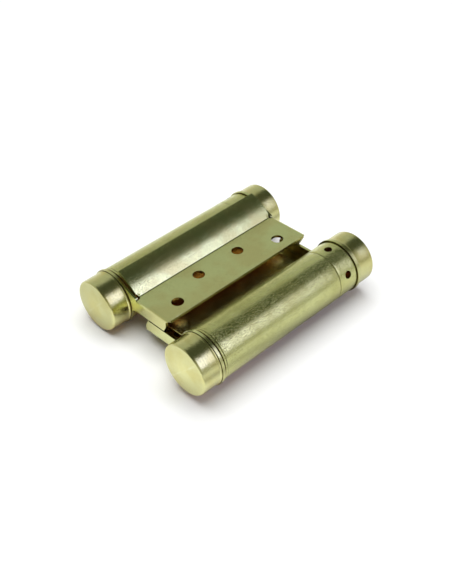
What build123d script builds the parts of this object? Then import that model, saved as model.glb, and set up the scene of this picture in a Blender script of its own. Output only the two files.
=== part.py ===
"""Double-action spring hinge, folded shut: one centre flange between two sprung barrels.

Frame: millimetres, +Z up, origin midway between the two barrel axes at mid length. The barrels
lie along Y, the tension collars at +Y. The left leaf is on top, the right leaf underneath: each
right-hand piece is the left-hand one turned half round the Y axis.
"""
from build123d import *
from math import acos, atan2, cos, degrees, hypot, radians, sin, sqrt
import os

# Overall sizes
LEAF_LENGTH = 76.0       # over the outer faces of a leaf's two ears
BARREL_SPACING = 52.2    # from one barrel axis to the other
BARREL_DIA = 22.0        # outside the rolled barrels and the collars
CAP_LENGTH = 9.4         # how far a cap stands out from its ear

# Sheet metal
SHEET = 1.2              # leaf sheet
BARREL_WALL = 1.2        # centre flange sheet, rolled into the barrels
WEB_BLEND = 2.0          # inside bend where the web turns up into the roll
ROLL_SEAM = 0.15         # slit where the roll's end meets the web

# Leaf
LEAF_TOP = 6.6           # outer face above the plane of the barrel axes
CREASE_GAP = 3.6         # from the barrel's side out to the crease
EDGE_GAP = 6.4           # from the free edge to the other leaf's ears
WALL_FOOT = 0.3          # lower edge of the end walls, above the plane of the axes
WALL_SLANT = 3.3         # how far the end of a wall leans in from the free edge
PLATE_CORNER = 1.8       # rounding of the plate's two free corners
BEND_RADIUS = 1.2        # outside bend from plate to end wall
EAR_STEP = 0.6           # ear radius beyond the barrel radius
EAR_FILLET = 3.0         # inside corner between ear and wall
RELIEF_RADIUS = 1.0      # corner relief at each end of the crease
HOOD_RISE = 3.0          # free edge of the hood, above the top of the barrel
HOOD_REACH = 3.9         # free edge of the hood, out from the barrel axis on the leaf's side
HOOD_BOW = 1.1           # how far the hood bows out of the line from edge to crease
HOOD_END_GAP = 0.15      # between the hood's ends and the ears

# Screw holes
HOLE_DIA = 5.0
HOLE_ROUND = 0.25        # rolled edge on the outer face
SINK_DEPTH = 0.5         # countersink on the inner face
OUTER_HOLE_END = 10.5    # outer holes, in from the ends of the leaf
OUTER_HOLE_INSET = 6.5   # outer holes, in from the free edge
INNER_HOLE_PITCH = 21.4  # from one inner hole to the other
INNER_HOLE_INSET = 6.7   # inner holes, out from the crease

# Barrel stack
SPINDLE_DIA = 5.0
RUN_GAP = 0.05           # radial running clearance on the spindle and in the barrel
SEAT_GAP = 0.02          # radial clearance of pieces that are fixed together
END_GAP = 0.1            # axial clearance between pieces that turn on each other
WASHER_THICK = 0.6
WASHER_DIA = 17.0
FLANGE_THICK = 1.1       # anchor plug flange
FLANGE_STEP = 0.1        # flange radius beyond the barrel radius
PLUG_DEPTH = 6.0
COLLAR_LENGTH = 9.6
COLLAR_EDGE = 0.3        # rounding of the collar's and flange's edges
SPIGOT_DEPTH = 4.0       # collar's spigot inside the barrel
TOMMY_COUNT = 5
TOMMY_DIA = 3.2
TOMMY_DEPTH = 5.0
TOMMY_ANGLE = 201.0      # first hole of the left collar

# Torsion spring
WIRE_DIA = 2.2
SPRING_RADIUS = 7.0      # to the middle of the wire
SPRING_PITCH = 3.1
SPRING_END_GAP = 0.3     # spring to plug and to collar spigot
TANG_DEPTH = 2.0         # how far a tang enters its seat
TANG_GAP = 0.15          # round a tang in its seat
TANG_SWING = 8.0         # how far round from the wire's end a tang stands, in degrees

# Spindle heads, cap retainers and caps
RETAINER_THICK = 2.4
HEAD_DIA = 8.0
HEAD_HEIGHT = 1.5
CAP_DIA = 22.0
CAP_WALL = 1.0
CAP_DOME = 0.45          # rise of the cap's face
CAP_EDGE = 0.9           # rounding between face and side
LIP_STEP = 0.3           # flared lip at the open rim
LIP_LENGTH = 0.8

# Worked out from the above
AXIS_X = -BARREL_SPACING / 2
BARREL_R = BARREL_DIA / 2
EAR_R = BARREL_R + EAR_STEP
SPINDLE_R = SPINDLE_DIA / 2
EAR_OUT = LEAF_LENGTH / 2
EAR_IN = EAR_OUT - SHEET
CREASE_X = BARREL_R + CREASE_GAP
FREE_EDGE = BARREL_SPACING - EAR_R - EDGE_GAP
FLANGE_NEAR = -EAR_IN + WASHER_THICK + END_GAP
FLANGE_FAR = FLANGE_NEAR + FLANGE_THICK
COLLAR_FAR = EAR_IN - END_GAP
COLLAR_NEAR = COLLAR_FAR - COLLAR_LENGTH
BARREL_NEAR = FLANGE_FAR
BARREL_FAR = COLLAR_NEAR - END_GAP
BORE_R = BARREL_R - BARREL_WALL
CAP_R = CAP_DIA / 2


def at(centre, radius, angle):
    """Point at a polar angle, in degrees, from a centre."""
    return (centre[0] + radius * cos(radians(angle)), centre[1] + radius * sin(radians(angle)))


def arc(centre, radius, start, end):
    """Arc about a centre between two polar angles."""
    middle = (start + end) / 2
    return ThreePointArc(at(centre, radius, start), at(centre, radius, middle), at(centre, radius, end))


def along_y(section, y0, y1):
    """Extrude a section drawn in X and Z from y0 to y1."""
    return Pos(0, y1, 0) * extrude(Plane.XZ * section, amount=y1 - y0)


def along_x(section, x0, x1):
    """Extrude a section drawn in Y and Z from x0 to x1."""
    return Pos(x0, 0, 0) * extrude(Plane.YZ * section, amount=x1 - x0)


def rounding(radius):
    """What comes off a square corner at the origin to leave it rounded, inside -X and -Y."""
    square = Rectangle(radius, radius, align=(Align.MAX, Align.MAX))
    return square - Pos(-radius, -radius) * Circle(radius)


def rod(radius, y0, y1):
    """Round bar on the local Y axis."""
    return along_y(Circle(radius), y0, y1)


def tube(radius, bore, y0, y1):
    """Round bar with a bore right through."""
    return rod(radius, y0, y1) - rod(bore, y0, y1)


def leaf_sheet():
    """Cross-section of plate and hood, one sheet thick, from free edge to hood edge."""
    edge = (HOOD_REACH, BARREL_R + HOOD_RISE)
    run = CREASE_X - edge[0]
    drop = edge[1] - LEAF_TOP
    chord = hypot(run, drop)
    radius = (chord ** 2 / 4 + HOOD_BOW ** 2) / (2 * HOOD_BOW)
    sink = (radius - HOOD_BOW) / chord
    centre = (edge[0] + run / 2 - drop * sink, edge[1] - drop / 2 - run * sink)
    crease_angle = degrees(atan2(LEAF_TOP - centre[1], CREASE_X - centre[0]))
    edge_angle = degrees(atan2(edge[1] - centre[1], edge[0] - centre[0]))
    under = LEAF_TOP - SHEET
    inner_x = centre[0] + sqrt((radius - SHEET) ** 2 - (under - centre[1]) ** 2)
    inner_angle = degrees(atan2(under - centre[1], inner_x - centre[0]))
    return make_face([
        Line((FREE_EDGE, under), (FREE_EDGE, LEAF_TOP)),
        Line((FREE_EDGE, LEAF_TOP), (CREASE_X, LEAF_TOP)),
        arc(centre, radius, crease_angle, edge_angle),
        Line(edge, at(centre, radius - SHEET, edge_angle)),
        arc(centre, radius - SHEET, edge_angle, inner_angle),
        Line((inner_x, under), (FREE_EDGE, under)),
    ])


def ear_section():
    """Ear and end wall: a disc with a straight edge up to the crease, and the wall beyond it."""
    crease_angle = degrees(atan2(LEAF_TOP, CREASE_X))
    tangent_angle = crease_angle + degrees(acos(EAR_R / hypot(CREASE_X, LEAF_TOP)))
    neck_x = sqrt((EAR_R + EAR_FILLET) ** 2 - (EAR_FILLET - WALL_FOOT) ** 2)
    hollow = (neck_x, WALL_FOOT - EAR_FILLET)
    hollow_angle = degrees(atan2(hollow[1], hollow[0]))
    outline = [
        Line(at((0, 0), EAR_R, tangent_angle), (CREASE_X, LEAF_TOP)),
        Line((CREASE_X, LEAF_TOP), (FREE_EDGE, LEAF_TOP)),
        Line((FREE_EDGE, LEAF_TOP), (FREE_EDGE - WALL_SLANT, WALL_FOOT)),
        Line((FREE_EDGE - WALL_SLANT, WALL_FOOT), (hollow[0], WALL_FOOT)),
        arc(hollow, EAR_FILLET, 90, 180 + hollow_angle),
        arc((0, 0), EAR_R, hollow_angle, tangent_angle - 360),
    ]
    return make_face(outline)


def screw_holes():
    """Cutters for four holes: round-edged on the outer face, countersunk on the inner face."""
    outer_y = LEAF_LENGTH / 2 - OUTER_HOLE_END
    outer_x = FREE_EDGE - OUTER_HOLE_INSET
    inner_x = CREASE_X + INNER_HOLE_INSET
    rows = ((outer_x, outer_y), (inner_x, INNER_HOLE_PITCH / 2))
    foot = (Align.CENTER, Align.CENTER, Align.MIN)
    head = (Align.CENTER, Align.CENTER, Align.MAX)
    hole = Cylinder(HOLE_DIA / 2, 4 * SHEET)
    hole += Pos(0, 0, -SHEET) * Cone(HOLE_DIA / 2 + SINK_DEPTH, HOLE_DIA / 2, SINK_DEPTH, align=foot)
    hole += Cone(HOLE_DIA / 2, HOLE_DIA / 2 + HOLE_ROUND, HOLE_ROUND, align=head)
    return [Pos(x, side * y, LEAF_TOP) * hole for x, y in rows for side in (-1, 1)]


def leaf():
    """Left leaf about its own barrel axis: plate, hood, two end walls with ears, screw holes."""
    body = along_y(leaf_sheet(), -EAR_IN + HOOD_END_GAP, EAR_IN - HOOD_END_GAP)
    plate_x = (CREASE_X + FREE_EDGE) / 2
    plate = Pos(plate_x, 0, LEAF_TOP - SHEET / 2) * Box(FREE_EDGE - CREASE_X, LEAF_LENGTH, SHEET)
    ears = along_y(ear_section(), EAR_IN, EAR_OUT) + along_y(ear_section(), -EAR_OUT, -EAR_IN)
    body = body + plate + ears
    for side in (-1, 1):
        bend = along_x(rounding(BEND_RADIUS), CREASE_X, FREE_EDGE)
        corner = extrude(rounding(PLATE_CORNER), amount=4 * LEAF_TOP, both=True)
        trim = Pos(0, EAR_OUT, LEAF_TOP) * bend + Pos(FREE_EDGE, EAR_OUT, 0) * corner
        if side < 0:
            trim = mirror(trim, about=Plane.XZ)
        relief = Pos(CREASE_X, side * EAR_IN, LEAF_TOP) * Cylinder(RELIEF_RADIUS, 4 * SHEET)
        body = body - trim - relief
    for cutter in screw_holes():
        body = body - cutter
    spindle_hole = rod(SPINDLE_R + SEAT_GAP, -EAR_OUT, EAR_OUT)
    return body - spindle_hole


def centre_flange():
    """Web with its two ends rolled into barrels, in the whole hinge's frame."""
    roll = Pos(AXIS_X, 0, 0) * tube(BARREL_R, BORE_R, BARREL_NEAR, BARREL_FAR)
    edge_x = AXIS_X + BARREL_R
    half = BARREL_WALL / 2
    reach = sqrt((BARREL_R + WEB_BLEND) ** 2 - (half + WEB_BLEND) ** 2)
    bend = (AXIS_X + reach, -half - WEB_BLEND)
    bend_angle = degrees(atan2(-bend[1], AXIS_X - bend[0]))
    blend = make_face([
        Line((edge_x - half, -half), (bend[0], -half)),
        arc(bend, WEB_BLEND, 90, bend_angle),
        Line(at(bend, WEB_BLEND, bend_angle), (edge_x - half, bend[1])),
        Line((edge_x - half, bend[1]), (edge_x - half, -half)),
    ])
    seam = Pos(edge_x, (BARREL_NEAR + BARREL_FAR) / 2, half + ROLL_SEAM / 2) * Box(
        2 * BARREL_WALL + 1, BARREL_FAR - BARREL_NEAR, ROLL_SEAM)
    web_span = 2 * (abs(edge_x) + half)
    web = Pos(0, (BARREL_NEAR + BARREL_FAR) / 2, 0) * Box(
        web_span, BARREL_FAR - BARREL_NEAR, BARREL_WALL)
    side = roll + along_y(blend, BARREL_NEAR, BARREL_FAR) - seam
    return side + Rot(0, 180, 0) * side + web


def anchor_plug():
    """Flanged plug fixed in the barrel's near end, holding the spring's near tang."""
    flange = rod(BARREL_R + FLANGE_STEP, FLANGE_NEAR, FLANGE_FAR)
    flange = fillet(flange.edges(), COLLAR_EDGE)
    stem = rod(BORE_R - SEAT_GAP, FLANGE_FAR - COLLAR_EDGE, FLANGE_FAR + PLUG_DEPTH)
    plug = flange + stem - rod(SPINDLE_R + RUN_GAP, FLANGE_NEAR, FLANGE_FAR + PLUG_DEPTH)
    seat_y = FLANGE_FAR + PLUG_DEPTH
    tang_seat = rod(WIRE_DIA / 2 + TANG_GAP, seat_y - TANG_DEPTH - TANG_GAP, seat_y)
    return plug - Rot(0, TANG_SWING, 0) * Pos(SPRING_RADIUS, 0, 0) * tang_seat


def tension_collar():
    """Collar that winds the spring: tommy-bar holes outside, a spigot in the barrel's far end."""
    body = rod(BARREL_R, COLLAR_NEAR, COLLAR_FAR)
    body = fillet(body.edges(), COLLAR_EDGE)
    spigot = rod(BORE_R - RUN_GAP, COLLAR_NEAR - SPIGOT_DEPTH, COLLAR_NEAR + COLLAR_EDGE)
    body = body + spigot - rod(SPINDLE_R + RUN_GAP, COLLAR_NEAR - SPIGOT_DEPTH, COLLAR_FAR)
    groove_half = WIRE_DIA / 2 + TANG_GAP
    groove_y = COLLAR_NEAR - SPIGOT_DEPTH
    groove = tube(SPRING_RADIUS + groove_half, SPRING_RADIUS - groove_half,
                  groove_y, groove_y + TANG_DEPTH + TANG_GAP)
    body = body - groove
    hole = Pos(BARREL_R - TOMMY_DEPTH, 0, 0) * Rot(0, 90, 0) * Cylinder(
        TOMMY_DIA / 2, TOMMY_DEPTH + 1, align=(Align.CENTER, Align.CENTER, Align.MIN))
    hole = Pos(0, (COLLAR_NEAR + COLLAR_FAR) / 2, 0) * hole
    for step in range(TOMMY_COUNT):
        body = body - Rot(0, -TOMMY_ANGLE - step * 360 / TOMMY_COUNT, 0) * hole
    return body


def torsion_spring():
    """Helical wire between plug and collar, with a straight tang at each end."""
    near = FLANGE_FAR + PLUG_DEPTH + SPRING_END_GAP + WIRE_DIA / 2
    far = COLLAR_NEAR - SPIGOT_DEPTH - SPRING_END_GAP - WIRE_DIA / 2
    height = far - near
    helix = Helix(pitch=SPRING_PITCH, height=height, radius=SPRING_RADIUS)
    end_angle = 360 * height / SPRING_PITCH
    section = Plane(origin=helix @ 0, z_dir=helix % 0) * Circle(WIRE_DIA / 2)
    coil = Pos(0, near, 0) * Rot(-90, 0, 0) * sweep(section, path=helix, is_frenet=True)
    seat = SPRING_END_GAP + TANG_DEPTH + WIRE_DIA / 2
    near_tang = Pos(SPRING_RADIUS, 0, 0) * rod(WIRE_DIA / 2, near - seat, near)
    far_tang = Pos(SPRING_RADIUS, 0, 0) * rod(WIRE_DIA / 2, far, far + seat)
    near_tang = Rot(0, TANG_SWING, 0) * near_tang
    far_tang = Rot(0, end_angle - TANG_SWING, 0) * far_tang
    return coil + near_tang + far_tang


def spindle():
    """Pivot pin through both ears, riveted over the cap retainers at each end."""
    reach = EAR_OUT + RETAINER_THICK
    pin = rod(SPINDLE_R, -reach, reach)
    head = rod(HEAD_DIA / 2, reach, reach + HEAD_HEIGHT)
    head = fillet(head.edges().group_by(Axis.Y)[-1], HEAD_HEIGHT / 2)
    return pin + head + mirror(head, about=Plane.XZ)


def thrust_washer():
    """Plain washer between the near ear and the anchor plug."""
    return tube(WASHER_DIA / 2, SPINDLE_R + SEAT_GAP, -EAR_IN, -EAR_IN + WASHER_THICK)


def cap_retainer():
    """Disc riveted to the far ear, which the cap is pressed over."""
    return tube(CAP_R - CAP_WALL - SEAT_GAP, SPINDLE_R + SEAT_GAP, EAR_OUT, EAR_OUT + RETAINER_THICK)


def end_cap():
    """Pressed cup over the far end of the spindle, with a domed face and a flared lip."""
    top = EAR_OUT + CAP_LENGTH
    shoulder = top - CAP_DOME
    bore = CAP_R - CAP_WALL
    face_r = CAP_R - CAP_EDGE
    dome_mid = (face_r / 2, top - CAP_DOME / 4)
    corner = (face_r, shoulder - CAP_EDGE)
    lip_top = EAR_OUT + LIP_LENGTH
    profile = make_face([
        Line((0, shoulder - CAP_WALL), (0, top)),
        ThreePointArc((0, top), dome_mid, (face_r, shoulder)),
        arc(corner, CAP_EDGE, 90, 0),
        Line((CAP_R, shoulder - CAP_EDGE), (CAP_R, lip_top + LIP_STEP)),
        Line((CAP_R, lip_top + LIP_STEP), (CAP_R + LIP_STEP, lip_top)),
        Line((CAP_R + LIP_STEP, lip_top), (CAP_R + LIP_STEP, EAR_OUT)),
        Line((CAP_R + LIP_STEP, EAR_OUT), (bore, EAR_OUT)),
        Line((bore, EAR_OUT), (bore, shoulder - CAP_WALL)),
        Line((bore, shoulder - CAP_WALL), (0, shoulder - CAP_WALL)),
    ])
    return revolve(profile, Axis.Y)


def save(part, name):
    """Write one node to its STEP file."""
    part.label = name
    export_step(part, os.path.join("parts", name + ".step"))


def save_pair(part, name):
    """Write the left-hand piece, and the right-hand one turned half round the Y axis."""
    left = Pos(AXIS_X, 0, 0) * part
    save(left, name + "_left")
    save(Rot(0, 180, 0) * left, name + "_right")


def main():
    os.makedirs("parts", exist_ok=True)
    save(centre_flange(), "centre_flange")
    save_pair(leaf(), "leaf")
    save_pair(anchor_plug(), "anchor_plug")
    save_pair(tension_collar(), "tension_collar")
    save_pair(torsion_spring(), "torsion_spring")
    save_pair(spindle(), "spindle")
    save_pair(thrust_washer(), "thrust_washer")
    retainer = cap_retainer()
    cap = end_cap()
    save_pair(retainer, "cap_retainer_far")
    save_pair(mirror(retainer, about=Plane.XZ), "cap_retainer_near")
    save_pair(cap, "end_cap_far")
    save_pair(mirror(cap, about=Plane.XZ), "end_cap_near")


main()
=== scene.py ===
"""Double-action spring hinge in plated brass, folded shut, on a plain pale floor.

Shapes are worked out in millimetres and written to the meshes in metres. A left-hand piece is made
once, and its right-hand twin is the same surface turned half round the Y axis.
"""
from math import acos, asin, atan2, cos, degrees, hypot, pi, radians, sin, sqrt

import bmesh
import bpy
import numpy as np
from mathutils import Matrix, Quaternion, Vector


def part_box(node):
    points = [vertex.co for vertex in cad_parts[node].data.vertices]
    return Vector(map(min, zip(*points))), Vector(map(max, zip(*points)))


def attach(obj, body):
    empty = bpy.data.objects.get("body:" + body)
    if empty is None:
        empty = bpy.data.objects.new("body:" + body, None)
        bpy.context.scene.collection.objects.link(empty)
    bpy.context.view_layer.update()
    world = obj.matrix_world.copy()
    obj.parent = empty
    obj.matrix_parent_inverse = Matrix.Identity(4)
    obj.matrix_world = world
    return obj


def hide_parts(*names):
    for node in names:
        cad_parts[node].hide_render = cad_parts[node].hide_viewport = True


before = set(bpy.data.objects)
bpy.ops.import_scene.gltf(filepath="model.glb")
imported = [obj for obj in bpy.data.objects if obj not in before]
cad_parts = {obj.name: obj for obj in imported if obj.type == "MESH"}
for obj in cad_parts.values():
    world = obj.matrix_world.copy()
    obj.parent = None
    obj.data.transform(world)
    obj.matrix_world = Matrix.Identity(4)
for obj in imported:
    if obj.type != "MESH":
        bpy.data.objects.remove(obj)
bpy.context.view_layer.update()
MM = 0.001
TURN_STEPS = 180


def span(node):
    """Lowest and highest corner of a node, in millimetres."""
    low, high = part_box(node)
    return np.array(low) / MM, np.array(high) / MM


# Sizes from the frame
pin_low, pin_high = span("spindle_left")
leaf_low, leaf_high = span("leaf_left")
collar_low, collar_high = span("tension_collar_left")
plug_low, plug_high = span("anchor_plug_left")
roll_low, roll_high = span("centre_flange")
cap_low, cap_high = span("end_cap_far_left")
AXIS_X = (pin_low[0] + pin_high[0]) / 2
BARREL_R = AXIS_X - roll_low[0]
EAR_R = AXIS_X - leaf_low[0]
EAR_OUT = leaf_high[1]
FREE_EDGE = leaf_high[0] - AXIS_X
HOOD_TOP = leaf_high[2]
PLUG_R = (plug_high[0] - plug_low[0]) / 2
LIP_R = (cap_high[0] - cap_low[0]) / 2
CAP_TOP = cap_high[1]

# Leaf
SHEET = 1.2
LEAF_TOP = 6.6
CREASE_X = BARREL_R + 3.6
HOOD_EDGE_X = 3.9
HOOD_BOW = 1.1
HOOD_END = EAR_OUT - SHEET - 0.15
RELIEF_R = 1.0
CREASE_R = 0.8
FOLD_X = CREASE_X + 0.42
BEND_R = 1.5
CORNER_R = 1.8
WALL_FOOT = 0.3
WALL_SLANT = 3.3
EAR_FILLET = 3.0
HOLE_R = 2.5
OUTER_HOLE = (FREE_EDGE - 6.5, EAR_OUT - 10.5)
INNER_HOLE = (CREASE_X + 6.7, 10.7)
LEAF_EDGE = 0.06

# Barrels and what turns in them
WALL = 1.2
WEB_BLEND = 2.0
SEAM = 0.15
ROLL_EDGE = 0.35
BORE_R = 2.55
SEAT_R = 2.52
FLANGE = 1.1
TURNED_EDGE = 0.4
COLLAR_LENGTH = 9.6
SPIGOT_R = BARREL_R - WALL - 0.05
STEM_R = BARREL_R - WALL - 0.02
TANG_GROOVE = (5.75, 8.25, 2.15)
TOMMY_COUNT = 5
TOMMY_R = 1.6
TOMMY_DEPTH = 5.0
TOMMY_ANGLE = radians(201.0)

# Caps
CAP_R = LIP_R - 0.3
CAP_WALL = 1.0
CAP_DOME = 0.45
CAP_EDGE = 0.9
LIP_LENGTH = 0.8


# ---------------------------------------------------------------- surfaces

def arc(centre, radius, start, end, steps):
    """Points on a circle from one angle to another, in degrees, both ends included."""
    angle = np.radians(np.linspace(start, end, steps + 1))
    return np.stack([centre[0] + radius * np.cos(angle), centre[1] + radius * np.sin(angle)], 1)


def line(start, end, steps):
    """Evenly spaced points on a straight line, both ends included."""
    share = np.linspace(0, 1, steps + 1)[:, None]
    return (1 - share) * np.array(start, float) + share * np.array(end, float)


def chain(*runs):
    """One outline from several runs, without the points where one run repeats the last."""
    joined = [runs[0]] + [run[1:] for run in runs[1:]]
    return np.concatenate(joined)


def grid(points, wrap=False):
    """A rows by columns sheet of points as (points, quads); wrap joins the last column to the first."""
    rows, columns = points.shape[:2]
    number = np.arange(rows * columns).reshape(rows, columns)
    if wrap:
        number = np.concatenate([number, number[:, :1]], 1)
    quads = np.stack([number[:-1, :-1], number[:-1, 1:], number[1:, 1:], number[1:, :-1]], -1)
    return points.reshape(-1, 3), quads.reshape(-1, 4)


def revolve(profile, angles):
    """Profile of (radius, y) turned about the barrel axis: x = r cos a, z = r sin a."""
    radius, height = profile[:, 0, None], profile[:, 1, None]
    ones = np.ones_like(angles)[None, :]
    points = np.stack([radius * np.cos(angles), height * ones, radius * np.sin(angles)], -1)
    return grid(points, wrap=True)


def make_piece(name, parts, shift=(0, 0, 0), turned=False, sharp=30.0, up_face=None, turning=None):
    """One mesh object from (points, quads) parts: doubles merged, faces outward, smooth by angle.

    up_face is a point that an open sheet's outer side looks up from. turning is each point's distance
    along a turned profile, kept as an attribute for the rings of the finish.
    """
    points = np.concatenate([part[0] for part in parts])
    starts = np.cumsum([0] + [len(part[0]) for part in parts[:-1]])
    quads = np.concatenate([part[1] + start for part, start in zip(parts, starts)])
    points = points + np.array(shift, float)
    if turned:
        points = points * np.array([-1.0, 1.0, -1.0])
    mesh = bpy.data.meshes.new(name)
    mesh.from_pydata((points * MM).tolist(), [], quads.tolist())
    if turning is not None:
        rings = mesh.attributes.new("turning", "FLOAT", "POINT")
        rings.data.foreach_set("value", (turning * MM).astype(np.float32))
    work = bmesh.new()
    work.from_mesh(mesh)
    bmesh.ops.remove_doubles(work, verts=work.verts, dist=2e-7)
    bmesh.ops.dissolve_degenerate(work, edges=work.edges, dist=1e-8)
    bmesh.ops.recalc_face_normals(work, faces=work.faces)
    if up_face is not None:
        side = -1 if turned else 1
        target = (Vector(up_face) + Vector(shift)) * MM
        target = Vector((side * target.x, target.y, side * target.z))
        nearest = min(work.faces, key=lambda face: (face.calc_center_median() - target).length)
        if nearest.normal.z * side < 0:
            bmesh.ops.reverse_faces(work, faces=work.faces)
    work.to_mesh(mesh)
    work.free()
    mesh.shade_smooth()
    mesh.set_sharp_from_angle(angle=radians(sharp))
    piece = bpy.data.objects.new(name, mesh)
    bpy.context.scene.collection.objects.link(piece)
    return piece


def hole_cell(xs, ys, hole, radius):
    """Flat cell with a round hole: rings blend from the hole's circle out to the cell's rectangle."""
    side = chain(
        np.stack([xs, np.full_like(xs, ys[0])], 1),
        np.stack([np.full_like(ys, xs[-1]), ys], 1),
        np.stack([xs[::-1], np.full_like(xs, ys[-1])], 1),
        np.stack([np.full_like(ys, xs[0]), ys[::-1]], 1),
    )[:-1]
    angle = np.arctan2(side[:, 1] - hole[1], side[:, 0] - hole[0])
    circle = np.stack([hole[0] + radius * np.cos(angle), hole[1] + radius * np.sin(angle)], 1)
    share = np.array([0, 0.05, 0.13, 0.26, 0.45, 0.7, 1.0])[:, None, None]
    return (1 - share) * circle + share * side


# ---------------------------------------------------------------- leaf

def hood_line():
    """Centre, radius and the two end angles of the arc that the hood follows from crease to edge."""
    run, drop = CREASE_X - HOOD_EDGE_X, HOOD_TOP - LEAF_TOP
    chord = hypot(run, drop)
    radius = (chord ** 2 / 4 + HOOD_BOW ** 2) / (2 * HOOD_BOW)
    sink = (radius - HOOD_BOW) / chord
    centre = (HOOD_EDGE_X + run / 2 - drop * sink, HOOD_TOP - drop / 2 - run * sink)
    crease = atan2(LEAF_TOP - centre[1], CREASE_X - centre[0])
    edge = atan2(HOOD_TOP - centre[1], HOOD_EDGE_X - centre[0])
    return centre, radius, crease, edge


def relief(y):
    """How far the round relief at the end of the crease reaches to either side, at a place along Y."""
    depth = RELIEF_R ** 2 - (np.abs(y) - EAR_OUT + SHEET) ** 2
    return np.sqrt(np.clip(depth, 0, None))


def hood_profile(x):
    """Z of the leaf's outer side at X: flat plate, small round fillet in the crease, hood's arc."""
    centre, radius, crease, edge = hood_line()
    fillet = LEAF_TOP + CREASE_R - np.sqrt(CREASE_R ** 2 - np.clip(x - FOLD_X, -CREASE_R, 0) ** 2)
    hood = centre[1] + np.sqrt(radius ** 2 - (x - centre[0]) ** 2)
    leave = FOLD_X - CREASE_R * cos(crease)
    return np.where(x < leave, hood, fillet)


def hood_skin(ys):
    """Outer side of the hood and crease: the profile carried along Y, cut back by the relief."""
    leave = FOLD_X - CREASE_R * cos(hood_line()[2])
    main = np.concatenate([FOLD_X - (FOLD_X - leave) * np.sin(np.linspace(0, pi / 2, 6)),
                           np.linspace(leave, HOOD_EDGE_X, 17)[1:]])
    share = (FOLD_X - main) / (FOLD_X - HOOD_EDGE_X)
    start = FOLD_X - (FOLD_X - CREASE_X + RELIEF_R) * relief(ys) / RELIEF_R
    x = start[:, None] + share * (HOOD_EDGE_X - start)[:, None]
    return grid(np.stack([x, np.repeat(ys[:, None], len(share), 1), hood_profile(x)], -1))


def bend_path(side):
    """Y and Z from the end of the screw cells over the bend to the top of the end wall."""
    flat = EAR_OUT - BEND_R
    turn = np.linspace(0, acos((EAR_OUT - SHEET - flat) / RELIEF_R), 7)
    level = EAR_OUT - SHEET - RELIEF_R * np.cos(turn)
    theta = np.linspace(0, pi / 2, 15)[1:]
    y = np.concatenate([level, flat + BEND_R * np.sin(theta)])
    z = np.concatenate([np.full(7, LEAF_TOP), LEAF_TOP - BEND_R + BEND_R * np.cos(theta)])
    return side * y, z


def plate_end(side, share):
    """Outer side of the plate's end: lines in X from relief to rounded corner, over the bend."""
    y, z = bend_path(side)
    into = np.clip(np.abs(y) - EAR_OUT + CORNER_R, 0, CORNER_R)
    start = FOLD_X + (CREASE_X + RELIEF_R - FOLD_X) * relief(y) / RELIEF_R
    end = FREE_EDGE - CORNER_R + np.sqrt(CORNER_R ** 2 - into ** 2)
    x = start[:, None] + share[None, :] * (end - start)[:, None]
    columns = len(share)
    return np.stack([x, np.repeat(y[:, None], columns, 1), np.repeat(z[:, None], columns, 1)], -1)


def wall_skin(side, top):
    """Outer side of the end wall: lines in X from the ear's neck to the leaning end, row by row in Z."""
    share = (top[:, 0] - top[0, 0]) / (top[-1, 0] - top[0, 0])
    knee = LEAF_TOP - (FREE_EDGE - top[-1, 0]) * (LEAF_TOP - WALL_FOOT) / WALL_SLANT
    z = np.concatenate([np.linspace(top[0, 2], knee, 5), np.linspace(knee, WALL_FOOT, 6)[1:]])
    end = np.minimum(top[-1, 0], FREE_EDGE - WALL_SLANT * (LEAF_TOP - z) / (LEAF_TOP - WALL_FOOT))
    x = top[0, 0] + share[None, :] * (end - top[0, 0])[:, None]
    points = np.stack([x, np.full_like(x, side * EAR_OUT), np.repeat(z[:, None], len(share), 1)], -1)
    return points


def ear_outline(neck_column):
    """X and Z round the ear; neck_column are the points that it shares with the end wall."""
    tangent = degrees(atan2(LEAF_TOP, CREASE_X) + acos(EAR_R / hypot(CREASE_X, LEAF_TOP)))
    neck = sqrt((EAR_R + EAR_FILLET) ** 2 - (EAR_FILLET - WALL_FOOT) ** 2)
    hollow = (neck, WALL_FOOT - EAR_FILLET)
    slope = degrees(atan2(hollow[1], hollow[0]))
    corner = np.array([FOLD_X, LEAF_TOP])
    top = EAR_R * np.array([cos(radians(tangent)), sin(radians(tangent))])
    back = corner + 0.3 * (top - corner) / np.linalg.norm(top - corner)
    tip = corner - (0, 0.3)
    return chain(
        arc((0, 0), EAR_R, tangent, 360 + slope, 150),
        arc(hollow, EAR_FILLET, 180 + slope, 90, 16),
        line((hollow[0], WALL_FOOT), neck_column[0], 1),
        neck_column,
        line(neck_column[-1], tip, 2),
        line(tip, back, 1),
        line(back, top, 10),
    )[:-1]


def ear_skin(side, neck_column):
    """Outer side of the ear: rings blend from the spindle hole out to the outline."""
    rim = ear_outline(neck_column)
    middle = np.array([0.0, 1.0])
    inner_ring = 4.0
    angle = np.arctan2(rim[:, 1] - middle[1], rim[:, 0] - middle[0])
    round_it = np.stack([np.cos(angle), np.sin(angle)], 1)
    share = np.array([0, 0.3, 0.6, 0.85, 1.0])[:, None, None]
    flat = (1 - share) * (middle + inner_ring * round_it) + share * rim
    flat = np.concatenate([SEAT_R * round_it[None], flat])
    points = np.stack([flat[..., 0], np.full(flat.shape[:2], side * EAR_OUT), flat[..., 1]], -1)
    return grid(points, wrap=True)


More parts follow.
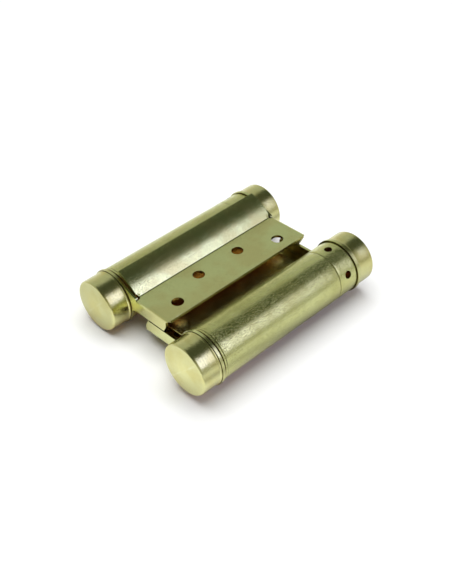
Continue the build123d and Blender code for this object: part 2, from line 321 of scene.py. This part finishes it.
def make_leaf(name, turned):
    """Leaf: plate with four screw holes, hood over the barrel, and an ear bent down at each end.

    Its outer side is one open sheet, which Solidify gives the sheet's thickness inwards.
    """
    end = EAR_OUT - SHEET - RELIEF_R
    cuts = np.array([-end, -end / 2, 0, end / 2, end])
    xs = np.linspace(FOLD_X, FREE_EDGE, 21)
    holes = [(OUTER_HOLE[0], -OUTER_HOLE[1]), (INNER_HOLE[0], -INNER_HOLE[1]), INNER_HOLE, OUTER_HOLE]
    parts = []
    for low, high, hole in zip(cuts[:-1], cuts[1:], holes):
        flat = hole_cell(xs, np.linspace(low, high, 19), hole, HOLE_R)
        points = np.concatenate([flat, np.full(flat.shape[:2] + (1,), LEAF_TOP)], -1)
        parts.append(grid(points, wrap=True))
    ys = np.concatenate([np.linspace(low, high, 19)[:-1] for low, high in zip(cuts[:-1], cuts[1:])])
    parts.append(hood_skin(np.append(ys, end)))
    share = (xs - FOLD_X) / (FREE_EDGE - FOLD_X)
    for side in (-1, 1):
        turn = np.linspace(0, acos((EAR_OUT - SHEET - HOOD_END) / RELIEF_R), 9)
        parts.append(hood_skin(side * (EAR_OUT - SHEET - RELIEF_R * np.cos(turn))))
        sheet = plate_end(side, share)
        wall = wall_skin(side, sheet[-1])
        parts.append(grid(sheet))
        parts.append(grid(wall))
        parts.append(ear_skin(side, wall[::-1, 0][:, [0, 2]]))
    leaf = make_piece(name, parts, (AXIS_X, 0, 0), turned, up_face=(20, 0, LEAF_TOP))
    solid = leaf.modifiers.new("sheet", "SOLIDIFY")
    solid.thickness = SHEET * MM
    solid.offset = -1
    solid.use_even_offset = True
    edge = leaf.modifiers.new("edges", "BEVEL")
    edge.width = LEAF_EDGE * MM
    edge.segments = 2
    edge.limit_method = "ANGLE"
    edge.angle_limit = radians(50)
    edge.use_clamp_overlap = False
    edge.harden_normals = True
    return leaf


# ---------------------------------------------------------------- barrels

def flange_sides():
    """The two faces of the rolled sheet, in X and Z, from the left seam to the right one.

    One face runs round the outside of the left barrel, under the web and round the inside of the
    right barrel. The other is the same line turned half round.
    """
    half = WALL / 2
    left, right = (AXIS_X, 0), (-AXIS_X, 0)
    bore = BARREL_R - WALL
    reach = sqrt((BARREL_R + WEB_BLEND) ** 2 - (half + WEB_BLEND) ** 2)
    bend = (AXIS_X + reach, -half - WEB_BLEND)
    slope = degrees(atan2(bend[1], reach))
    seam_out = degrees(asin((half + SEAM) / BARREL_R))
    seam_in = degrees(asin((half + SEAM) / bore))
    web_in = degrees(asin(half / bore))
    start = (bend[0], -half)
    finish = (-AXIS_X - bore * cos(radians(web_in)), -half)
    face = chain(
        arc(left, BARREL_R, seam_out, 360 + slope, 160),
        arc(bend, WEB_BLEND, 180 + slope, 90, 12),
        line(start, finish, 20),
        arc(right, bore, 540 + web_in, 180 + seam_in, 172),
    )
    return face, -face[::-1]


def make_flange(name):
    """Web and barrels: the strip between its two faces carried along Y, its end edges rounded."""
    lower, upper = flange_sides()
    count = len(lower)
    loop = np.concatenate([lower, upper[::-1]])
    ahead = np.roll(loop, -1, 0) - np.roll(loop, 1, 0)
    inward = np.stack([-ahead[:, 1], ahead[:, 0]], 1)
    inward /= np.linalg.norm(inward, axis=1, keepdims=True)
    turn = np.linspace(0, pi / 2, 5)
    start, end = plug_low[1] + FLANGE, roll_high[1]
    near = start + ROLL_EDGE * (1 - np.cos(turn))
    ys = np.concatenate([near, np.linspace(start + 4, end - 4, 12), (start + end - near)[::-1]])
    inset = ROLL_EDGE * (1 - np.sin(turn))
    inset = np.concatenate([inset, np.zeros(12), inset[::-1]])
    section = loop[None] + inset[:, None, None] * inward[None]
    depth = np.repeat(ys[:, None], 2 * count, 1)
    points = np.stack([section[..., 0], depth, section[..., 1]], -1)
    ends = []
    for row in (points[0], points[-1]):
        ends.append(grid(np.stack([row[:count], row[count:][::-1]])))
    return make_piece(name, [grid(points, wrap=True)] + ends)


def make_plug(name, turned):
    """Anchor plug: flange with two rounded edges and a stem in the barrel, turned about its axis."""
    near, far = plug_low[1], plug_high[1]
    back = near + FLANGE
    edge = TURNED_EDGE
    rim = chain(
        line((BORE_R, near), (PLUG_R - edge, near), 3),
        arc((PLUG_R - edge, near + edge), edge, -90, 0, 4),
        line((PLUG_R, near + edge), (PLUG_R, back - edge), 2),
        arc((PLUG_R - edge, back - edge), edge, 0, 90, 4),
        line((PLUG_R - edge, back), (STEM_R, back), 1),
        line((STEM_R, back), (STEM_R, far), 2),
        line((STEM_R, far), (BORE_R, far), 2),
        line((BORE_R, far), (BORE_R, near), 2),
    )
    angles = np.arange(TURN_STEPS) * 2 * pi / TURN_STEPS
    return make_piece(name, [revolve(rim, angles)], (AXIS_X, 0, 0), turned)


def tommy_cell(middle, ys, centre_y):
    """Part of the collar's side with one tommy hole: rings out to the cell, then the drilled wall.

    The side follows x = R sin u/R across and R cos u/R outwards, and the wall runs straight in.
    """
    half = pi / TOMMY_COUNT * BARREL_R
    across = np.linspace(-half, half, TURN_STEPS // TOMMY_COUNT + 1)
    lip = 0.15
    upper_wall, cone_r, cone_drop, point_drop = 1.5, 0.6, 0.3, 0.4
    flat = hole_cell(across, ys, (0.0, centre_y), TOMMY_R + lip)
    out = BARREL_R * np.cos(flat[..., 0] / BARREL_R)
    wide = BARREL_R * np.sin(flat[..., 0] / BARREL_R)
    rings = [np.stack([wide, flat[..., 1], out], -1)]
    direction = np.stack([flat[0, :, 0], flat[0, :, 1] - centre_y], 1) / (TOMMY_R + lip)
    turn = np.linspace(0, pi / 2, 4)[1:]
    lower_r = [TOMMY_R, TOMMY_R, cone_r, 0.0]
    lower_drop = [upper_wall, TOMMY_DEPTH, TOMMY_DEPTH + cone_drop, TOMMY_DEPTH + point_drop]
    radius = np.concatenate([TOMMY_R + lip * (1 - np.sin(turn)), lower_r])
    drop = np.concatenate([lip * (1 - np.cos(turn)), lower_drop])
    for r, d in zip(radius, drop):
        ring = np.stack([r * direction[:, 0], centre_y + r * direction[:, 1],
                         np.sqrt(BARREL_R ** 2 - (r * direction[:, 0]) ** 2) - d], -1)
        if d >= TOMMY_DEPTH:
            ring[:, 2] = BARREL_R - d
        rings.insert(0, ring[None])
    local = np.concatenate(rings)
    wide, y, out = local[..., 0], local[..., 1], local[..., 2]
    x = out * cos(middle) - wide * sin(middle)
    z = out * sin(middle) + wide * cos(middle)
    return grid(np.stack([x, y, z], -1), wrap=True)


def make_collar(name, turned):
    """Tension collar: five drilled cells round its side, the rest turned about the axis."""
    far = collar_high[1]
    near = far - COLLAR_LENGTH
    tail = collar_low[1]
    edge = TURNED_EDGE
    inner, outer, deep = TANG_GROOVE
    profile = chain(
        arc((BARREL_R - edge, far - edge), edge, 0, 90, 4),
        line((BARREL_R - edge, far), (BORE_R, far), 3),
        line((BORE_R, far), (BORE_R, tail), 3),
        line((BORE_R, tail), (inner, tail), 1),
        line((inner, tail), (inner, tail + deep), 1),
        line((inner, tail + deep), (outer, tail + deep), 1),
        line((outer, tail + deep), (outer, tail), 1),
        line((outer, tail), (SPIGOT_R, tail), 1),
        line((SPIGOT_R, tail), (SPIGOT_R, near), 2),
        line((SPIGOT_R, near), (BARREL_R - edge, near), 1),
        arc((BARREL_R - edge, near + edge), edge, -90, 0, 4),
    )
    first = TOMMY_ANGLE + pi / TOMMY_COUNT
    angles = first + np.arange(TURN_STEPS) * 2 * pi / TURN_STEPS
    ys = np.linspace(near + edge, far - edge, 11)
    parts = [revolve(profile, angles)]
    for step in range(TOMMY_COUNT):
        middle = TOMMY_ANGLE + step * 2 * pi / TOMMY_COUNT
        parts.append(tommy_cell(middle, ys, (near + far) / 2))
    return make_piece(name, parts, (AXIS_X, 0, 0), turned)


def make_cap(name, far_end, turned):
    """End cap: a cup turned about the axis, with a domed face, rounded edge and flared lip."""
    top = CAP_TOP
    shoulder = top - CAP_DOME
    face_r = CAP_R - CAP_EDGE
    bore = CAP_R - CAP_WALL
    radius = (face_r ** 2 + CAP_DOME ** 2) / (2 * CAP_DOME)
    tilt = degrees(asin(face_r / radius))
    lip_top = EAR_OUT + LIP_LENGTH
    flare, lip_edge, foot_edge = 0.35, 0.25, 0.15
    profile = chain(
        arc((0, top - radius), radius, 90, 90 - tilt, 10),
        arc((face_r, shoulder - CAP_EDGE), CAP_EDGE, 90, 0, 8),
        line((CAP_R, shoulder - CAP_EDGE), (CAP_R, lip_top + flare), 3),
        arc((CAP_R + flare, lip_top + flare), flare, 180, 240, 3),
        arc((LIP_R - lip_edge, lip_top - lip_edge), lip_edge, 60, 0, 4),
        line((LIP_R, lip_top - lip_edge), (LIP_R, EAR_OUT + foot_edge), 1),
        arc((LIP_R - foot_edge, EAR_OUT + foot_edge), foot_edge, 0, -90, 3),
        line((LIP_R - foot_edge, EAR_OUT), (bore, EAR_OUT), 1),
        line((bore, EAR_OUT), (bore, shoulder - CAP_WALL), 2),
        line((bore, shoulder - CAP_WALL), (0, shoulder - CAP_WALL), 3),
    )
    if not far_end:
        profile = profile * np.array([1.0, -1.0])
    angles = np.arange(TURN_STEPS) * 2 * pi / TURN_STEPS
    steps = np.linalg.norm(np.diff(profile, axis=0), axis=1)
    along = np.repeat(np.concatenate([[0.0], np.cumsum(steps)]), len(angles))
    return make_piece(name, [revolve(profile, angles)], (AXIS_X, 0, 0), turned, turning=along)


# ---------------------------------------------------------------- materials

class Tree:
    """Short ways to fill a node tree. A value is a socket, which is linked, or a constant."""

    def __init__(self, tree):
        self.tree = tree

    def add(self, kind, **settings):
        """A node of a kind, with its settings."""
        node = self.tree.nodes.new("ShaderNode" + kind)
        for key, value in settings.items():
            setattr(node, key, value)
        return node

    def feed(self, socket, value):
        """Gives a socket its value."""
        if isinstance(value, bpy.types.NodeSocket):
            self.tree.links.new(value, socket)
        else:
            socket.default_value = value

    def times(self, first, second):
        """Product of two values."""
        node = self.add("Math", operation="MULTIPLY")
        self.feed(node.inputs[0], first)
        self.feed(node.inputs[1], second)
        return node.outputs["Value"]

    def stretch(self, value, low, high, smooth=True, to=(0.0, 1.0)):
        """The first of to where the value is low, the second where it is high, and between them."""
        node = self.add("MapRange", interpolation_type="SMOOTHSTEP" if smooth else "LINEAR")
        node.inputs["From Min"].default_value = low
        node.inputs["From Max"].default_value = high
        node.inputs["To Min"].default_value = to[0]
        node.inputs["To Max"].default_value = to[1]
        self.feed(node.inputs["Value"], value)
        return node.outputs["Result"]

    def noise(self, scale, detail):
        """Noise over the piece's own coordinates."""
        node = self.add("TexNoise")
        self.feed(node.inputs["Scale"], scale)
        node.inputs["Detail"].default_value = detail
        self.feed(node.inputs["Vector"], self.add("TexCoord").outputs["Object"])
        return node.outputs["Fac"]

    def mix(self, factor, first, second, blend="MIX"):
        """Colour between two colours."""
        node = self.add("Mix", data_type="RGBA", blend_type=blend)
        for label, value in (("Factor", factor), ("A", first), ("B", second)):
            self.feed(node.inputs[label], value)
        return node.outputs["Result"]

    def bump(self, height, distance, strength, normal=None):
        """Normal of a surface raised by a height, over another normal."""
        node = self.add("Bump")
        node.inputs["Distance"].default_value = distance
        self.feed(node.inputs["Height"], height)
        self.feed(node.inputs["Strength"], strength)
        if normal is not None:
            self.feed(node.inputs["Normal"], normal)
        return node.outputs["Normal"]

    def ramp(self, value, stops):
        """Colour along stops of (position from 0 to 1, (red, green, blue))."""
        node = self.add("ValToRGB")
        elements = node.color_ramp.elements
        while len(elements) < len(stops):
            elements.new(0.5)
        for element, (position, colour) in zip(elements, stops):
            element.position = position
            element.color = (*colour, 1)
        self.feed(node.inputs["Fac"], value)
        return node.outputs["Color"]


def new_group(name, inputs, outputs):
    """Node group with named sockets: (its tree, its input sockets, a function that ends it)."""
    group = bpy.data.node_groups.new(name, "ShaderNodeTree")
    for label, kind, value in inputs:
        socket = group.interface.new_socket(label, in_out="INPUT", socket_type="NodeSocket" + kind)
        socket.default_value = value
    for label, kind in outputs:
        group.interface.new_socket(label, in_out="OUTPUT", socket_type="NodeSocket" + kind)
    come, go = group.nodes.new("NodeGroupInput"), group.nodes.new("NodeGroupOutput")

    def end(**results):
        for label, socket in results.items():
            group.links.new(socket, go.inputs[label])
        return group
    return Tree(group), come.outputs, end


PALE_BRASS = (0.7, 0.7, 0.3, 1)


def cloud_group(speck_scale=1400, speck_film=(0.45, 0.42, 0.35, 1)):
    """Plating colour that drifts between two tones in soft clouds, with small darker specks."""
    tree, get, end = new_group("plating_cloud", [
        ("Tone", "Color", PALE_BRASS), ("Deep", "Color", PALE_BRASS),
        ("Cloud", "Float", 60.0), ("Speck", "Float", 0.2)], [("Color", "Color"), ("Mask", "Float")])
    spread = tree.stretch(tree.noise(get["Cloud"], 5), 0.38, 0.66)
    dots = tree.stretch(tree.noise(speck_scale, 2), 0.58, 0.72, smooth=False)
    tone = tree.mix(spread, get["Tone"], get["Deep"])
    speckled = tree.mix(tree.times(dots, get["Speck"]), tone, speck_film, blend="MULTIPLY")
    return end(Color=speckled, Mask=spread)


def ripple_group(broad_scale=120, broad_rise=0.0006, fine_rise=0.0001):
    """Normal of a plated surface: a fine ripple over a broad unevenness; rises in metres."""
    tree, get, end = new_group("plating_ripple", [
        ("Ripple", "Float", 900.0), ("Height", "Float", 0.3), ("Broad", "Float", 0.3)],
        [("Normal", "Vector")])
    low = tree.bump(tree.noise(broad_scale, 2), broad_rise, get["Broad"])
    pits = tree.stretch(tree.noise(get["Ripple"], 3), 0.52, 0.68)
    return end(Normal=tree.bump(pits, fine_rise, get["Height"], low))


def wear_group(patch_scale=350):
    """Edge wear: the mesh's own convex edges, broken up by noise, pull a colour towards another."""
    tree, get, end = new_group("edge_wear", [
        ("Color", "Color", PALE_BRASS), ("Bare", "Color", (0.9, 0.85, 0.6, 1)),
        ("Amount", "Float", 0.6)], [("Color", "Color")])
    rise = tree.stretch(tree.add("NewGeometry").outputs["Pointiness"], 0.53, 0.62)
    broken = tree.stretch(tree.noise(patch_scale, 4), 0.35, 0.6, smooth=False)
    worn = tree.times(tree.times(rise, broken), get["Amount"])
    return end(Color=tree.mix(worn, get["Color"], get["Bare"]))


def painted_shade_group(brown=(0.5, 0.22, 0.035, 1), black=(0.05, 0.035, 0.015, 1)):
    """Painted shade by how enclosed a point is: brown in deep hollows, black in narrow grooves.

    Each kind has its reach in millimetres, and the open share of its surroundings at which the painted
    shade starts and at which it is full.
    """
    tree, get, end = new_group("recess_painted_shade", [
        ("Color", "Color", PALE_BRASS), ("Groove", "Float", 0.8), ("Hollow", "Float", 0.8)],
        [("Color", "Color")])
    colour = get["Color"]
    kinds = (("Hollow", 12.0, 0.72, 0.25, brown), ("Groove", 1.3, 0.9, 0.45, black))
    for label, reach, starts, full, dark_tone in kinds:
        sky = tree.add("AmbientOcclusion", samples=8)
        sky.inputs["Distance"].default_value = reach * MM
        closed = tree.stretch(sky.outputs["AO"], starts, full)
        colour = tree.mix(tree.times(closed, get[label]), colour, dark_tone)
    return end(Color=colour)


def turning_group(ring_scale=2600, ring_rise=0.00006, dark_tone=(0.3, 0.3, 0.22, 1)):
    """Fine rings of a turned or spun surface, by the distance along its profile, in metres.

    The rings are a bump. The colour darkens from the face's middle towards its rim and is back to full
    on the side.
    """
    tree, get, end = new_group("turned_rings", [
        ("Color", "Color", PALE_BRASS), ("Normal", "Vector", (0, 0, 0)), ("Depth", "Float", 0.2),
        ("Fade", "Float", 0.2)], [("Color", "Color"), ("Normal", "Vector")])
    along = tree.add("Attribute", attribute_name="turning").outputs["Fac"]
    rings = tree.add("TexNoise", noise_dimensions="1D")
    rings.inputs["Scale"].default_value = ring_scale
    rings.inputs["Detail"].default_value = 3
    tree.feed(rings.inputs["W"], along)
    raised = tree.bump(rings.outputs["Fac"], ring_rise, get["Depth"], get["Normal"])
    face = tree.times(tree.stretch(along, 0.0, 0.009), tree.stretch(along, 0.0115, 0.0095))
    faded = tree.mix(tree.times(face, get["Fade"]), get["Color"], dark_tone, blend="MULTIPLY")
    return end(Color=faded, Normal=raised)


CLOUD = cloud_group()
# painted shade: ambient occlusion darkens the colour, brown in deep hollows and black in narrow grooves
PAINTED_SHADE = painted_shade_group()
TURNING = turning_group()
RIPPLE = ripple_group()
WEAR = wear_group()


def metal(name, tone, deep, roughness, bare=(0.85, 0.85, 0.5), cloud=60, speck=0.2, wear=0.6,
          ripple=900, height=0.3, broad=0.3, groove=0.9, hollow=0.85, rings=0.0):
    """Plated metal: clouded tone, worn edges, painted shade in hollows and grooves, and a rippled or
    turned normal.

    The clouds also take the roughness from its first value to its second.
    """
    material = bpy.data.materials.new(name)
    material.use_nodes = True
    tree = Tree(material.node_tree)
    shader = material.node_tree.nodes["Principled BSDF"]
    shader.inputs["Metallic"].default_value = 1.0

    def use(group, **values):
        """Places a node group with its values, and gives its outputs."""
        node = tree.add("Group", node_tree=group)
        for label, value in values.items():
            tree.feed(node.inputs[label], value)
        return node.outputs

    plating = use(CLOUD, Tone=(*tone, 1), Deep=(*deep, 1), Cloud=cloud, Speck=speck)
    worn = use(WEAR, Color=plating["Color"], Bare=(*bare, 1), Amount=wear)
    # painted shade in hollows and grooves, laid over the worn plating colour
    top = use(PAINTED_SHADE, Color=worn["Color"], Groove=groove, Hollow=hollow)
    surface = use(RIPPLE, Ripple=ripple, Height=height, Broad=broad)
    if rings:
        top = surface = use(TURNING, Color=top["Color"], Normal=surface["Normal"], Depth=rings)
    tree.feed(shader.inputs["Base Color"], top["Color"])
    tree.feed(shader.inputs["Normal"], surface["Normal"])
    rough = tree.stretch(plating["Mask"], 0.0, 1.0, smooth=False, to=roughness)
    tree.feed(shader.inputs["Roughness"], rough)
    return material


BRASS = (0.74, 0.76, 0.34)
BRASS_DEEP = (0.66, 0.66, 0.26)
FINE = 2400
# groove and hollow set how strong each finish's painted shade is
barrel_finish = metal("barrel_plating", BRASS, BRASS_DEEP, (0.2, 0.27), speck=0.1, ripple=FINE,
                      height=0.8, broad=0.2, hollow=1.0)
leaf_finish = metal("leaf_plating", (0.70, 0.74, 0.35), (0.69, 0.67, 0.30), (0.16, 0.24),
                    cloud=90, ripple=FINE, height=0.22, broad=0.12, hollow=0.45)
collar_finish = metal("collar_plating", BRASS, BRASS_DEEP, (0.2, 0.26), ripple=FINE,
                      height=0.6, broad=0.15, groove=0.4)
cap_finish = metal("cap_plating", (0.74, 0.73, 0.35), (0.70, 0.66, 0.27), (0.2, 0.26),
                   cloud=120, height=0.15, broad=0.15, rings=0.5)
spring_finish = metal("spring_wire", (0.30, 0.29, 0.28), (0.22, 0.2, 0.18), (0.35, 0.5),
                      bare=(0.5, 0.5, 0.48))
steel_finish = metal("plain_steel", (0.42, 0.41, 0.38), (0.34, 0.32, 0.29), (0.3, 0.45),
                     bare=(0.6, 0.6, 0.58))


# ---------------------------------------------------------------- assembly

def finish_piece(piece, body, node, material):
    """Rides a piece on its body in place of its CAD node, with its material."""
    piece.data.materials.append(material)
    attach(piece, body)
    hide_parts(node)


def paint_node(node, material):
    """Gives a CAD node that stays in view its material."""
    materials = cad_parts[node].data.materials
    materials.clear()
    materials.append(material)


finish_piece(make_flange("rolled_flange"), "centre", "centre_flange", barrel_finish)
for hand, leaf_body in (("left", "jamb_leaf"), ("right", "door_leaf")):
    turned = hand == "right"
    finish_piece(make_leaf("hooded_leaf_" + hand, turned), leaf_body, "leaf_" + hand,
                 leaf_finish)
    finish_piece(make_plug("flanged_plug_" + hand, turned), "centre", "anchor_plug_" + hand,
                 collar_finish)
    finish_piece(make_collar("drilled_collar_" + hand, turned), "collar_" + hand,
                 "tension_collar_" + hand, collar_finish)
    for end in ("far", "near"):
        cap = make_cap("pressed_cap_" + end + "_" + hand, end == "far", turned)
        finish_piece(cap, leaf_body, "end_cap_" + end + "_" + hand, cap_finish)
    for node in ("spindle_", "thrust_washer_", "cap_retainer_far_", "cap_retainer_near_"):
        paint_node(node + hand, steel_finish)
    paint_node("torsion_spring_" + hand, spring_finish)


# ---------------------------------------------------------------- studio

def spaced(stops, low, high):
    """Stops of (place between low and high, value or colour) as stops for a ramp."""
    return [((at - low) / (high - low), value if isinstance(value, tuple) else (value,) * 3)
            for at, value in stops]


def make_floor(half=3000.0, paint_tone=(0.9, 0.9, 0.9, 1), skew=0.6):
    """Pale floor that the lower leaf's hood edge and the left ears stand on.

    Mirror rays see it shaded along the line x + skew y, as if the room were darker to the right.
    """
    rest_x = -AXIS_X - HOOD_EDGE_X
    slope = (HOOD_TOP - EAR_R) / (rest_x - AXIS_X)
    xs = np.array([-half, half])
    corners = np.array([[x, y, -HOOD_TOP + (rest_x - x) * slope] for x in xs for y in xs]) * MM
    mesh = bpy.data.meshes.new("floor")
    mesh.from_pydata(corners.tolist(), [], [(0, 2, 3, 1)])
    floor = bpy.data.objects.new("floor", mesh)
    bpy.context.scene.collection.objects.link(floor)
    paint = bpy.data.materials.new("floor_paint")
    paint.use_nodes = True
    shader = paint.node_tree.nodes["Principled BSDF"]
    shader.inputs["Roughness"].default_value = 0.9
    shader.inputs["Specular IOR Level"].default_value = 0.1
    tree = Tree(paint.node_tree)
    axes = tree.add("SeparateXYZ")
    tree.feed(axes.inputs["Vector"], tree.add("TexCoord").outputs["Object"])
    slant = tree.add("Math", operation="MULTIPLY_ADD")
    for socket, value in zip(slant.inputs, (axes.outputs["Y"], skew, axes.outputs["X"])):
        tree.feed(socket, value)
    low, high = -100, 140
    across = tree.stretch(slant.outputs["Value"], low * MM, high * MM, smooth=False)
    shades = ((-74, 0.72), (-22, 0.92), (20, 0.86), (30, 0.64), (42, 0.36), (52, 0.44), (79, 0.64),
              (110, 0.68))
    mirrored = tree.ramp(across, spaced(shades, low, high))
    glossy = tree.add("LightPath").outputs["Is Glossy Ray"]
    tree.feed(shader.inputs["Base Color"], tree.mix(glossy, paint_tone, mirrored))
    mesh.materials.append(paint)


def make_world():
    """Studio surround in long bands parallel to the barrels, with one bright window.

    The bands follow the angle of a direction in X and Z, in degrees up from +X. The window is bright
    over some of these angles, where the direction also leans towards +Y.
    """
    low, high = -30, 210
    wall = (0.47, 0.49, 0.43)
    dark = (0.062, 0.070, 0.045)
    window_glow = (1.6, 1.58, 2.5, 1)
    surround = ((-20, (0.5, 0.5, 0.45)), (2, (0.42, 0.42, 0.36)), (30, (0.5, 0.5, 0.46)),
                (54, (0.28, 0.28, 0.22)), (68, dark), (108, dark), (121, wall), (145, wall),
                (172, (0.72, 0.7, 0.62)), (190, (0.64, 0.6, 0.48)))
    window_up = ((12, 0.0), (22, 1.0), (50, 1.0), (62, 0.0))
    window_along = ((0.2, 0.0), (0.3, 1.0), (0.52, 1.0), (0.6, 0.0))
    world = bpy.data.worlds.new("studio")
    world.use_nodes = True
    bpy.context.scene.world = world
    tree = Tree(world.node_tree)
    axes = tree.add("SeparateXYZ")
    tree.feed(axes.inputs["Vector"], tree.add("TexCoord").outputs["Generated"])
    angle = tree.add("Math", operation="ARCTAN2")
    tree.feed(angle.inputs[0], axes.outputs["Z"])
    tree.feed(angle.inputs[1], axes.outputs["X"])
    turn = tree.stretch(angle.outputs["Value"], radians(low), radians(high), smooth=False)
    bands = tree.ramp(turn, spaced(surround, low, high))
    up = tree.ramp(turn, spaced(window_up, low, high))
    along = tree.ramp(axes.outputs["Y"], spaced(window_along, 0, 1))
    seen = tree.mix(tree.times(up, along), bands, window_glow)
    tree.feed(world.node_tree.nodes["Background"].inputs["Color"], seen)


def make_light(name, place, aim, size, energy, glossy=True):
    """Square area light at a place, looking at an aim point; millimetres and watts."""
    data = bpy.data.lights.new(name, "AREA")
    data.size = size * MM
    data.energy = energy
    light = bpy.data.objects.new(name, data)
    light.location = Vector(place) * MM
    light.rotation_mode = "QUATERNION"
    light.rotation_quaternion = (Vector(aim) - Vector(place)).to_track_quat("-Z", "Y")
    light.visible_glossy = glossy
    bpy.context.scene.collection.objects.link(light)


def make_camera(place=(220.96, -195.75, 238.20), aim=(5.01, -5.53, 0.0), lens=57.85, roll=-3.6):
    """Camera above the near right corner, rolled by the tilt that the hinge lies at, in degrees."""
    data = bpy.data.cameras.new("camera")
    data.lens = lens
    data.clip_start = 0.01
    data.clip_end = 20
    camera = bpy.data.objects.new("camera", data)
    camera.location = Vector(place) * MM
    camera.rotation_mode = "QUATERNION"
    level = (Vector(aim) - Vector(place)).to_track_quat("-Z", "Y")
    camera.rotation_quaternion = level @ Quaternion((0, 0, 1), radians(roll))
    bpy.context.scene.collection.objects.link(camera)
    bpy.context.scene.camera = camera


make_floor()
make_world()
make_light("overhead_fill", (0, 0, 900), (0, 0, 0), 900, 10.5, glossy=False)
make_camera()
bpy.context.scene.view_settings.view_transform = "Standard"
